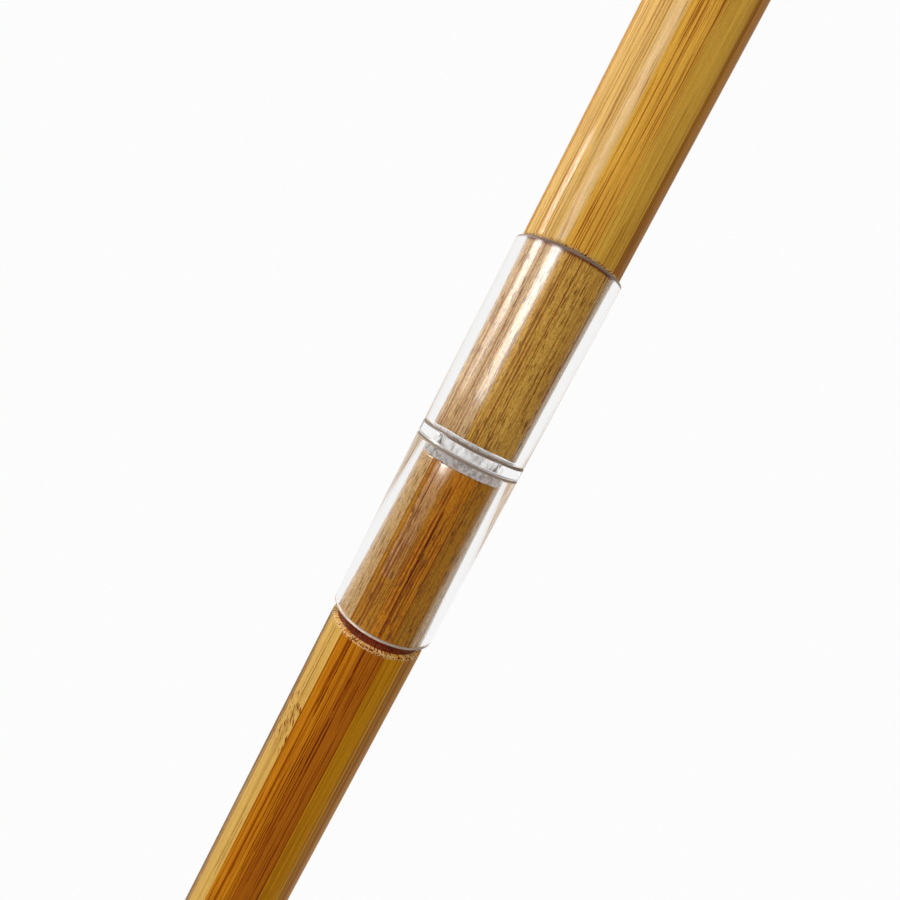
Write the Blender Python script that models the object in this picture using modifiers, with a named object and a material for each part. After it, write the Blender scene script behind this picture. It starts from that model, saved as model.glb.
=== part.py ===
"""A keyless bamboo flute in two sections, joined by a clear coupler.

Each section is a tube glued up from strips of bamboo (staves) and turned to a narrower tenon at one end.
The two tenons slip into a coupler made of two clear tubes cemented to a clear stop ring.
A cork closes the bore above the embouchure, and a turned cap closes the end of the tube.
The flute stands on its foot end at the origin, with its axis on +Z and its finger holes towards -Y.
"""

import math

import bmesh
import bpy

# Driving dimensions, in metres, hertz and degrees.
BORE = 0.0185
HEAD_DIAMETER = 0.02555
FOOT_DIAMETER = 0.02582
TENON_DIAMETER = 0.0227
TENON_LENGTH = 0.048
COUPLER_DIAMETER = 0.028
COUPLER_BORE = 0.023
UPPER_TUBE_LENGTH = 0.0486
LOWER_TUBE_LENGTH = 0.0481
STOP_RING_LENGTH = 0.0034
HEAD_GAP = 0.0005  # between the head's shoulder and the coupler's upper rim
TUNING_GAP = 0.0029  # how far the foot section is drawn out of the coupler
GLUE_LINE = 0.0001
EMBOUCHURE_TO_COUPLER = 0.070
EMBOUCHURE_TO_CROWN = 0.056
EMBOUCHURE_LENGTH = 0.012
EMBOUCHURE_WIDTH = 0.0102

# The tube's length and the finger holes follow from the notes they sound.
SOUND_SPEED = 345.0
KEY_NOTE = 293.66
EMBOUCHURE_CORRECTION = 0.045
END_CORRECTION = 0.3 * BORE
HOLE_PITCH = 0.036  # usual distance between neighbouring finger holes
CHIMNEY_SHARE = 0.75  # of a hole's diameter, which its wall acts longer by
FINGER_HOLES = (  # semitones above the key note, and diameter
    (2, 0.0080),
    (4, 0.0098),
    (5, 0.0090),
    (7, 0.0090),
    (9, 0.0095),
    (11, 0.0080),
)

# Seams between the staves, in degrees round from -Y towards +X.
# The first stave is the widest, because it holds the holes.
HEAD_SEAMS = (-38, 38, 66, 94, 122.5, 151.5, 181, 214, 250, 286, 322)
FOOT_SEAMS = (-38, 38, 66, 95, 128, 157, 185.5, 211, 248, 285, 322)

CORK_ABOVE_EMBOUCHURE = 0.019
CORK_LENGTH = 0.020
BORE_CLEARANCE = 0.0001
CAP_THICKNESS = 0.006
CAP_ROUNDING = 0.003
CAP_GAP = 0.0003
SPIGOT_LENGTH = 0.010
SPIGOT_DIAMETER = 0.0178
BAND_LENGTH = 0.006
BAND_THICKNESS = 0.0005
BAND_CHAMFER = 0.00008

TURN_STEPS = 64
HOLE_STEPS = 32
ROUNDING_STEPS = 4
SMALL_CHAMFER = 0.0003
WIDE_CHAMFER = 0.0006
MERGE_DISTANCE = 0.00001
CUTTER_REACH = 0.012
SHARP_ANGLE = math.radians(35)

# Heights that follow from the dimensions above.
EMBOUCHURE_Z = SOUND_SPEED / (2 * KEY_NOTE) - EMBOUCHURE_CORRECTION - END_CORRECTION
UPPER_TUBE_Z = EMBOUCHURE_Z - EMBOUCHURE_TO_COUPLER - UPPER_TUBE_LENGTH
STOP_RING_Z = UPPER_TUBE_Z - GLUE_LINE - STOP_RING_LENGTH
LOWER_TUBE_Z = STOP_RING_Z - GLUE_LINE - LOWER_TUBE_LENGTH
FOOT_SHOULDER_Z = LOWER_TUBE_Z - TUNING_GAP
HEAD_SHOULDER_Z = UPPER_TUBE_Z + UPPER_TUBE_LENGTH + HEAD_GAP
HEAD_END_Z = EMBOUCHURE_Z + EMBOUCHURE_TO_CROWN
CORK_Z = EMBOUCHURE_Z + CORK_ABOVE_EMBOUCHURE
CAP_Z = HEAD_END_Z + CAP_GAP

# Colours and roughness.
PALE_BAMBOO = (0.72, 0.48, 0.19)
AMBER_BAMBOO = (0.60, 0.32, 0.08)
OLIVE_BAMBOO = (0.50, 0.30, 0.09)
RUSSET_BAMBOO = (0.42, 0.18, 0.04)
HEAD_TONES = (AMBER_BAMBOO, PALE_BAMBOO, AMBER_BAMBOO, PALE_BAMBOO, PALE_BAMBOO,
              AMBER_BAMBOO, OLIVE_BAMBOO, RUSSET_BAMBOO, PALE_BAMBOO, AMBER_BAMBOO)
FOOT_TONES = (AMBER_BAMBOO, OLIVE_BAMBOO, AMBER_BAMBOO, PALE_BAMBOO, AMBER_BAMBOO,
              RUSSET_BAMBOO, OLIVE_BAMBOO, AMBER_BAMBOO, PALE_BAMBOO, OLIVE_BAMBOO)
CORK = (0.55, 0.34, 0.17)
CAP_WOOD = (0.16, 0.06, 0.025)
LACQUER_ROUGHNESS = 0.22
CORK_ROUGHNESS = 0.85
CAP_ROUGHNESS = 0.3
ACRYLIC_ROUGHNESS = 0.03
ACRYLIC_INDEX = 1.49


def clear_scene():
    for obj in list(bpy.data.objects):
        bpy.data.objects.remove(obj)


def add_collection(name):
    collection = bpy.data.collections.new(name)
    bpy.context.scene.collection.children.link(collection)
    return collection


def add_object(name, mesh, collection, height, parent=None):
    obj = bpy.data.objects.new(name, mesh)
    obj.location.z = height
    if parent is not None:
        obj.parent = parent
        obj.location.z -= parent.location.z
    collection.objects.link(obj)
    return obj


def add_section(name, height, collection):
    """An empty on the flute's axis that carries the pieces of one section."""
    return add_object(name, None, collection, height)


def paint(obj, color, roughness, transmission=0.0):
    """Gives the object its own Principled material."""
    material = bpy.data.materials.new(obj.name)
    material.use_nodes = True
    shader = material.node_tree.nodes["Principled BSDF"]
    shader.inputs["Base Color"].default_value = (*color, 1.0)
    shader.inputs["Roughness"].default_value = roughness
    shader.inputs["Metallic"].default_value = 0.0
    shader.inputs["Transmission Weight"].default_value = transmission
    shader.inputs["IOR"].default_value = ACRYLIC_INDEX
    obj.data.materials.append(material)


def shade_round(mesh):
    mesh.shade_smooth()
    mesh.set_sharp_from_angle(angle=SHARP_ANGLE)


def turned_piece(name, outline, closed, height, collection, parent):
    """One full turn of an outline of (radius, height) points that runs down its outer side.

    The Screw is applied, so that the round faces can be shaded smooth and the edges kept sharp.
    """
    mesh = bpy.data.meshes.new(name)
    points = [(radius, 0.0, z) for radius, z in outline]
    edges = [(i, i + 1) for i in range(len(points) - 1)]
    if closed:
        edges.append((len(points) - 1, 0))
    mesh.from_pydata(points, edges, [])
    obj = add_object(name, mesh, collection, height, parent)
    screw = obj.modifiers.new("Turn", "SCREW")
    screw.axis = "Z"
    screw.steps = TURN_STEPS
    screw.render_steps = TURN_STEPS
    screw.use_merge_vertices = True
    screw.merge_threshold = MERGE_DISTANCE
    bpy.context.view_layer.update()
    graph = bpy.context.evaluated_depsgraph_get()
    obj.data = bpy.data.meshes.new_from_object(obj.evaluated_get(graph))
    obj.modifiers.clear()
    shade_round(obj.data)
    return obj


def tube_outline(outer, inner, length, outer_chamfer, inner_chamfer):
    """A straight tube from height 0 to its length, with its four edges broken."""
    return [
        (inner + inner_chamfer, length),
        (outer - outer_chamfer, length),
        (outer, length - outer_chamfer),
        (outer, outer_chamfer),
        (outer - outer_chamfer, 0.0),
        (inner + inner_chamfer, 0.0),
        (inner, inner_chamfer),
        (inner, length - inner_chamfer),
    ]


def rounded_corner(radius, height, rounding):
    """The upper outer corner of a turned piece as a quarter circle, from its top to its side."""
    angles = [math.radians(90 * step / ROUNDING_STEPS) for step in range(ROUNDING_STEPS + 1)]
    return [
        (radius - rounding + rounding * math.sin(angle), height - rounding + rounding * math.cos(angle))
        for angle in angles
    ]


def section_outline(diameter, shaft_length):
    """Half a lengthwise cut through a section's wall, from its open end at 0 up past the shoulder."""
    shaft = diameter / 2
    tenon = TENON_DIAMETER / 2
    bore = BORE / 2
    tip = shaft_length + TENON_LENGTH
    return [
        (bore + SMALL_CHAMFER, 0.0),
        (shaft - WIDE_CHAMFER, 0.0),
        (shaft, WIDE_CHAMFER),
        (shaft, shaft_length - SMALL_CHAMFER),
        (shaft - SMALL_CHAMFER, shaft_length),
        (tenon, shaft_length),
        (tenon, tip - SMALL_CHAMFER),
        (tenon - SMALL_CHAMFER, tip),
        (bore, tip),
        (bore, SMALL_CHAMFER),
    ]


def stave(name, outline, start, end, height, collection, parent):
    """The part of a turned section between two seams, less half a glue line at each."""
    radii = [radius for radius, _ in outline]
    glue_angle = GLUE_LINE / (min(radii) + max(radii))
    first = math.radians(start) + glue_angle
    sweep = math.radians(end - start) - 2 * glue_angle
    build = bmesh.new()
    corners = [
        build.verts.new((radius * math.sin(first), -radius * math.cos(first), z))
        for radius, z in outline
    ]
    face = build.faces.new(corners)
    bmesh.ops.spin(
        build,
        geom=[*corners, *face.edges, face],
        axis=(0, 0, 1),
        cent=(0, 0, 0),
        angle=sweep,
        steps=max(2, round(TURN_STEPS * (end - start) / 360)),
    )
    bmesh.ops.recalc_face_normals(build, faces=build.faces)
    mesh = bpy.data.meshes.new(name)
    build.to_mesh(mesh)
    build.free()
    shade_round(mesh)
    return add_object(name, mesh, collection, height, parent)


def staves(names, outline, seams, tones, height, collection, parent):
    """All the staves of one section, in order round the tube. Returns the first, which takes the holes."""
    made = []
    for index, name in enumerate(names):
        piece = stave(name, outline, seams[index], seams[index + 1], height, collection, parent)
        paint(piece, tones[index], LACQUER_ROUGHNESS)
        made.append(piece)
    return made[0]


def stave_names(section, first, seams):
    """The stave with the holes has its own name, and the others are numbered round the tube from 2."""
    return [first] + [f"{section}_stave_{number}" for number in range(2, len(seams))]


def cut_hole(obj, name, height, length, width, collection):
    """An oval hole through the wall on the -Y side: its length runs along the flute."""
    bpy.ops.mesh.primitive_cylinder_add(
        vertices=HOLE_STEPS,
        radius=0.5,
        depth=CUTTER_REACH,
        location=(0, -(BORE + FOOT_DIAMETER) / 4, height),
        rotation=(math.radians(90), 0, 0),
    )
    cutter = bpy.context.object
    cutter.name = name
    cutter.scale = (width, length, 1)
    bpy.ops.object.transform_apply(location=False, rotation=False, scale=True)
    for linked in list(cutter.users_collection):
        linked.objects.unlink(cutter)
    collection.objects.link(cutter)
    cutter.hide_render = True
    cutter.display_type = "WIRE"
    cut = obj.modifiers.new(name, "BOOLEAN")
    cut.operation = "DIFFERENCE"
    cut.solver = "EXACT"
    cut.object = cutter


def finger_hole_z(semitones, diameter):
    """Height of the hole that sounds a note: half its wavelength, less the blowing and hole corrections."""
    half_wave = SOUND_SPEED / (2 * KEY_NOTE * 2 ** (semitones / 12))
    chimney = (FOOT_DIAMETER - BORE) / 2 + CHIMNEY_SHARE * diameter
    openness = 4 * chimney / HOLE_PITCH * (BORE / diameter) ** 2
    hole_correction = HOLE_PITCH / 2 * (math.sqrt(1 + openness) - 1)
    return EMBOUCHURE_Z - (half_wave - EMBOUCHURE_CORRECTION - hole_correction)


def add_foot(collection, cutters):
    section = add_section("foot_section", 0.0, collection)
    outline = section_outline(FOOT_DIAMETER, FOOT_SHOULDER_Z)
    names = stave_names("foot", "foot_finger_stave", FOOT_SEAMS)
    finger_stave = staves(names, outline, FOOT_SEAMS, FOOT_TONES, 0.0, collection, section)
    for number, (semitones, diameter) in enumerate(FINGER_HOLES, start=1):
        height = finger_hole_z(semitones, diameter)
        cut_hole(finger_stave, f"finger_hole_{number}", height, diameter, diameter, cutters)


def add_head(collection, cutters):
    """The head is turned like the foot, the other way up: its tenon points down into the coupler."""
    section = add_section("head_section", HEAD_SHOULDER_Z, collection)
    shaft_length = HEAD_END_Z - HEAD_SHOULDER_Z
    outline = [(radius, shaft_length - z) for radius, z in section_outline(HEAD_DIAMETER, shaft_length)]
    names = stave_names("head", "head_lip_stave", HEAD_SEAMS)
    lip_stave = staves(names, outline, HEAD_SEAMS, HEAD_TONES, HEAD_SHOULDER_Z, collection, section)
    cut_hole(lip_stave, "embouchure", EMBOUCHURE_Z, EMBOUCHURE_LENGTH, EMBOUCHURE_WIDTH, cutters)
    return section


def add_coupler(collection):
    section = add_section("coupler", STOP_RING_Z, collection)
    outer = COUPLER_DIAMETER / 2
    for name, inner, length, height in (
        ("coupler_upper_tube", COUPLER_BORE / 2, UPPER_TUBE_LENGTH, UPPER_TUBE_Z),
        ("coupler_stop_ring", BORE / 2, STOP_RING_LENGTH, STOP_RING_Z),
        ("coupler_lower_tube", COUPLER_BORE / 2, LOWER_TUBE_LENGTH, LOWER_TUBE_Z),
    ):
        outline = tube_outline(outer, inner, length, SMALL_CHAMFER, SMALL_CHAMFER)
        piece = turned_piece(name, outline, True, height, collection, section)
        paint(piece, (1.0, 1.0, 1.0), ACRYLIC_ROUGHNESS, transmission=1.0)


def add_cork(collection, head):
    """The stopper that closes the bore above the embouchure."""
    radius = BORE / 2 - BORE_CLEARANCE
    outline = [
        (0.0, CORK_LENGTH),
        (radius - WIDE_CHAMFER, CORK_LENGTH),
        (radius, CORK_LENGTH - WIDE_CHAMFER),
        (radius, WIDE_CHAMFER),
        (radius - WIDE_CHAMFER, 0.0),
        (0.0, 0.0),
    ]
    cork = turned_piece("cork_stopper", outline, False, CORK_Z, collection, head)
    paint(cork, CORK, CORK_ROUGHNESS)


def add_cap(collection, head):
    """A disc over the tube's end, on a spigot whose groove holds a thin cork band."""
    disc = HEAD_DIAMETER / 2
    spigot = SPIGOT_DIAMETER / 2
    band_outer = BORE / 2 - BORE_CLEARANCE
    band_inner = band_outer - BAND_THICKNESS
    groove = band_inner - BORE_CLEARANCE
    groove_top = -(SPIGOT_LENGTH - BAND_LENGTH) / 2 + BORE_CLEARANCE
    groove_bottom = groove_top - BAND_LENGTH - 2 * BORE_CLEARANCE
    outline = [
        (0.0, CAP_THICKNESS),
        *rounded_corner(disc, CAP_THICKNESS, CAP_ROUNDING),
        (disc, SMALL_CHAMFER),
        (disc - SMALL_CHAMFER, 0.0),
        (spigot, 0.0),
        (spigot, groove_top),
        (groove, groove_top),
        (groove, groove_bottom),
        (spigot, groove_bottom),
        (spigot, -SPIGOT_LENGTH + SMALL_CHAMFER),
        (spigot - SMALL_CHAMFER, -SPIGOT_LENGTH),
        (0.0, -SPIGOT_LENGTH),
    ]
    cap = turned_piece("end_cap", outline, False, CAP_Z, collection, head)
    paint(cap, CAP_WOOD, CAP_ROUGHNESS)
    band_outline = tube_outline(band_outer, band_inner, BAND_LENGTH, BAND_CHAMFER, BAND_CHAMFER)
    band_z = CAP_Z + groove_bottom + BORE_CLEARANCE
    band = turned_piece("cap_cork_band", band_outline, True, band_z, collection, head)
    paint(band, CORK, CORK_ROUGHNESS)


def main():
    clear_scene()
    flute = add_collection("bamboo_flute")
    cutters = add_collection("cutters")
    add_foot(flute, cutters)
    add_coupler(flute)
    head = add_head(flute, cutters)
    add_cork(flute, head)
    add_cap(flute, head)


main()
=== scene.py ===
"""The looks of the bamboo flute: its lacquered staves, clear coupler, cork and cap, with light and camera."""

import math

import bmesh
import bpy
from mathutils import Matrix, Vector, noise


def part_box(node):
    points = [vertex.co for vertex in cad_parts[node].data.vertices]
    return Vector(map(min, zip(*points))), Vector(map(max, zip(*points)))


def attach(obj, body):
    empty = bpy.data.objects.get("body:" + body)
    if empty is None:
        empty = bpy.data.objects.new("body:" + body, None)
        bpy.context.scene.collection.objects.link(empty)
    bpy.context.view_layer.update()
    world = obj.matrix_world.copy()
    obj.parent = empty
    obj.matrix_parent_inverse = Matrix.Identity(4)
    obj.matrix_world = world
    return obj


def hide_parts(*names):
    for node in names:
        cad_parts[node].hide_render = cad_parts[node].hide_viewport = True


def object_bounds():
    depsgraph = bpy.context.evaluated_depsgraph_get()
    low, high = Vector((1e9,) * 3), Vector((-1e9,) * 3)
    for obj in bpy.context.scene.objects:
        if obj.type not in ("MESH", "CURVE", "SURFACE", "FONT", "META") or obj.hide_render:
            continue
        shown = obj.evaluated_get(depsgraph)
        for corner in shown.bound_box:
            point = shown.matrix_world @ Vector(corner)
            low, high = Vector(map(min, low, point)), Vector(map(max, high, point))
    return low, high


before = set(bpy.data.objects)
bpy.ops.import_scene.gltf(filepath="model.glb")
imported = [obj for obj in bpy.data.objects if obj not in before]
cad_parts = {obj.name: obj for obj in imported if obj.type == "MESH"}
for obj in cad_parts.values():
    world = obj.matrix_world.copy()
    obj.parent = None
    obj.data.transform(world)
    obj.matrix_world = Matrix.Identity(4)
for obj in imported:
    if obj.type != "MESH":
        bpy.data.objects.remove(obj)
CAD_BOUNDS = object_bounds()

MM = 0.001

# Sizes and places that follow from the frame.
FOOT_LOW, FOOT_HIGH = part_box("foot_finger_stave")
HEAD_LOW, HEAD_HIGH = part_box("head_lip_stave")
UPPER_TUBE_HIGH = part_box("coupler_upper_tube")[1]
LOWER_TUBE_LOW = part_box("coupler_lower_tube")[0]
RING_LOW, RING_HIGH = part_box("coupler_stop_ring")
CORK_LOW, CORK_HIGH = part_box("cork_stopper")
CAP_LOW, CAP_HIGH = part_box("end_cap")
BAND_LOW, BAND_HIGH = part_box("cap_cork_band")


def corners_of(node):
    """Distances from the axis and heights of a CAD node's vertices."""
    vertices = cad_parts[node].data.vertices
    return [(math.hypot(vertex.co.x, vertex.co.y), vertex.co.z) for vertex in vertices]


def outer_radius(node, low=-math.inf, high=math.inf):
    """The largest distance from the axis of a CAD node's vertices, between two heights if they are given."""
    return max(radius for radius, z in corners_of(node) if low <= z <= high)


def inner_radius(node):
    """The smallest distance from the axis of a CAD node's vertices."""
    return min(radius for radius, z in corners_of(node))


FOOT_RADIUS = outer_radius("foot_finger_stave")
HEAD_RADIUS = outer_radius("head_lip_stave")
TENON_RADIUS = outer_radius("foot_finger_stave", low=FOOT_HIGH.z - 10 * MM)
BORE_RADIUS = inner_radius("foot_finger_stave")
FOOT_SHOULDER = max(z for radius, z in corners_of("foot_finger_stave") if radius > TENON_RADIUS + MM)
HEAD_SHOULDER = min(z for radius, z in corners_of("head_lip_stave") if radius > TENON_RADIUS + MM)
COUPLER_RADIUS = outer_radius("coupler_upper_tube")
COUPLER_BORE_RADIUS = inner_radius("coupler_upper_tube")

# The seams between staves, in degrees round from -Y towards +X, as the frame holds them.
HEAD_SEAMS = (-38, 38, 66, 94, 122.5, 151.5, 181, 214, 250, 286, 322)
FOOT_SEAMS = (-38, 38, 66, 95, 128, 157, 185.5, 211, 248, 285, 322)

# How finely things are turned, and how they are finished.
TURN_STEPS = 384
LONGEST_STEP = 10 * MM
FINE_STEP = 0.6 * MM
FINE_SPAN = 1.2 * MM
SEAM_GAP = 0.01 * MM
CHIP_REACH = 0.9 * MM
CHIP_DEPTH = 0.45 * MM
WAVE_DEPTH = 0.012 * MM
BAND_CLEARANCE = 0.1 * MM
TUBE_ROUNDING = 0.5 * MM

# Camera: the viewing angle of a close look at the coupler from behind the flute.
LENS = 24.07
SENSOR = 36.0
CAMERA_DISTANCE = 0.1495
CAMERA_AZIMUTH = 163.0
CAMERA_ABOVE_RING = 16.8 * MM
CAMERA_PAN = 1.77
CAMERA_TILT = 8.07
CAMERA_ROLL = 27.32

# Brightness of the studio, where 1 is white paper: as the camera sees it, and as the flute does.
WHITE = (1.0, 1.0, 1.0)
BACKDROP_SEEN = 0.975
BACKDROP_LIGHT = 0.95
CAMERA_SIDE_LIGHT = 0.5
CAMERA_SIDE_GLOSS = 0.12
CAMERA_SIDE_TINT = (1.0, 0.84, 0.68)
BACKDROP_GLOSS = 0.93
SIDE_LIGHT = 0.08
CONTACT_SHADE = 0.62
FLOOR_HALF_WIDTH = 3.0
FLOOR_DROP = 0.2 * MM

# Soft lights: name, turn round from the camera, elevation, width and height in degrees, brightness and gleam.
WINDOWS = (
    ("left_window", -89, 16.5, 12, 18, 14, 320),
    ("front_window", -39, 22, 18, 34, 5.5, 155),
)


def direction(azimuth, elevation=0.0):
    """Unit vector at an azimuth in degrees round from -Y towards +X, and an elevation."""
    turn = math.radians(azimuth)
    rise = math.radians(elevation)
    return Vector((math.sin(turn) * math.cos(rise), -math.cos(turn) * math.cos(rise), math.sin(rise)))


# Geometry ---------------------------------------------------------------------------------------------


def divided(outline, longest=LONGEST_STEP, fine_span=None):
    """The closed outline with its long edges cut up, and its outer side more finely in a span of heights."""
    points = []
    for index, (radius, z) in enumerate(outline):
        next_radius, next_z = outline[(index + 1) % len(outline)]
        length = math.hypot(next_radius - radius, next_z - z)
        count = max(1, math.ceil(length / longest))
        shares = {step / count for step in range(count)}
        if fine_span and abs(next_radius - radius) < 0.1 * MM and radius > BORE_RADIUS + MM:
            low, high = fine_span
            fine = max(1, math.ceil((high - low) / FINE_STEP))
            for step in range(fine + 1):
                share = (low + (high - low) * step / fine - z) / (next_z - z)
                if 0 < share < 1:
                    shares.add(share)
        for share in sorted(shares):
            points.append((radius + (next_radius - radius) * share, z + (next_z - z) * share))
    return points


def lathe(name, outline, start=0.0, end=360.0, closed=True):
    """A mesh turned from an outline of (radius, height) points, all the way round or between two azimuths."""
    whole = end - start >= 360
    build = bmesh.new()
    first = direction(start)
    corners = [build.verts.new((radius * first.x, radius * first.y, z)) for radius, z in outline]
    pairs = list(zip(corners, corners[1:] + corners[:1])) if closed else list(zip(corners, corners[1:]))
    edges = [build.edges.new(pair) for pair in pairs]
    geometry = corners + edges
    if not whole:
        geometry = [*corners, *edges, build.faces.new(corners)]
    bmesh.ops.spin(
        build,
        geom=geometry,
        axis=(0, 0, 1),
        cent=(0, 0, 0),
        angle=math.radians(end - start),
        steps=max(2, round(TURN_STEPS * (end - start) / 360)),
    )
    if whole:
        bmesh.ops.remove_doubles(build, verts=build.verts, dist=0.001 * MM)
    bmesh.ops.recalc_face_normals(build, faces=build.faces)
    mesh = bpy.data.meshes.new(name)
    build.to_mesh(mesh)
    build.free()
    return mesh


def finish_piece(name, mesh, node, body, material, sharp=40):
    """Puts a mesh on its body with its material, in its CAD node's place, and hides that node if there is
    one. sharp is the crease angle in degrees.
    """
    mesh.shade_smooth()
    mesh.set_sharp_from_angle(angle=math.radians(sharp))
    mesh.materials.clear()
    mesh.materials.append(material)
    obj = bpy.data.objects.new(name, mesh)
    bpy.context.scene.collection.objects.link(obj)
    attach(obj, body)
    if node:
        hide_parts(node)


def corner_arc(radius, z, size, quadrant, steps=4):
    """A rounded corner of a turned outline. Quadrant 0 is upper outer, and 1 to 3 follow it clockwise."""
    start = math.radians(90 - 90 * quadrant)
    side, rise = ((-1, -1), (-1, 1), (1, 1), (1, -1))[quadrant]
    return [
        (
            radius + side * size + size * math.cos(start - math.radians(90 * step / steps)),
            z + rise * size + size * math.sin(start - math.radians(90 * step / steps)),
        )
        for step in range(steps + 1)
    ]


def crumbling(point, shoulder, up):
    """How much a shoulder's edge has crumbled at a point, from 0 to 1."""
    away = (shoulder - point.z) * up
    if away < -0.1 * MM or away > CHIP_REACH:
        return 0.0
    chip = noise.noise(Vector((point.x, point.y, 0)) / (0.55 * MM)) * 0.5
    chip += noise.noise(Vector((point.x, point.y, 5)) / (2.2 * MM)) * 0.5
    return max(0.0, chip) * (1 - away / CHIP_REACH) ** 2


def weather(mesh, shoulder, up):
    """Turns an exact stave into a hand-finished one: a slow waviness and a crumbled shoulder edge."""
    for vertex in mesh.vertices:
        radius = math.hypot(vertex.co.x, vertex.co.y)
        if radius < BORE_RADIUS + MM:
            continue
        wave = noise.noise(Vector((vertex.co.x, vertex.co.y, vertex.co.z * 0.25)) / (7 * MM))
        change = -WAVE_DEPTH * (1 + wave)
        if radius > TENON_RADIUS + 0.2 * MM:
            change -= CHIP_DEPTH * crumbling(vertex.co, shoulder, up)
        vertex.co.x *= 1 + change / radius
        vertex.co.y *= 1 + change / radius


def section_outline(shaft, end, shoulder, tip):
    """The cut wall of a section, from its open end along the outside to its tenon's tip and back."""
    up = 1 if tip > end else -1
    return [
        (BORE_RADIUS + 0.35 * MM, end),
        (shaft - 0.6 * MM, end),
        (shaft - 0.18 * MM, end + up * 0.18 * MM),
        (shaft, end + up * 0.6 * MM),
        (shaft, shoulder - up * CHIP_REACH),
        (shaft, shoulder - up * 0.55 * MM),
        (shaft - 0.03 * MM, shoulder - up * 0.3 * MM),
        (shaft - 0.12 * MM, shoulder - up * 0.12 * MM),
        (shaft - 0.3 * MM, shoulder),
        (TENON_RADIUS, shoulder),
        (TENON_RADIUS, tip - up * 0.3 * MM),
        (TENON_RADIUS - 0.09 * MM, tip - up * 0.09 * MM),
        (TENON_RADIUS - 0.3 * MM, tip),
        (BORE_RADIUS, tip),
        (BORE_RADIUS, end + up * 0.35 * MM),
    ]


# Shader nodes -----------------------------------------------------------------------------------------


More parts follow.
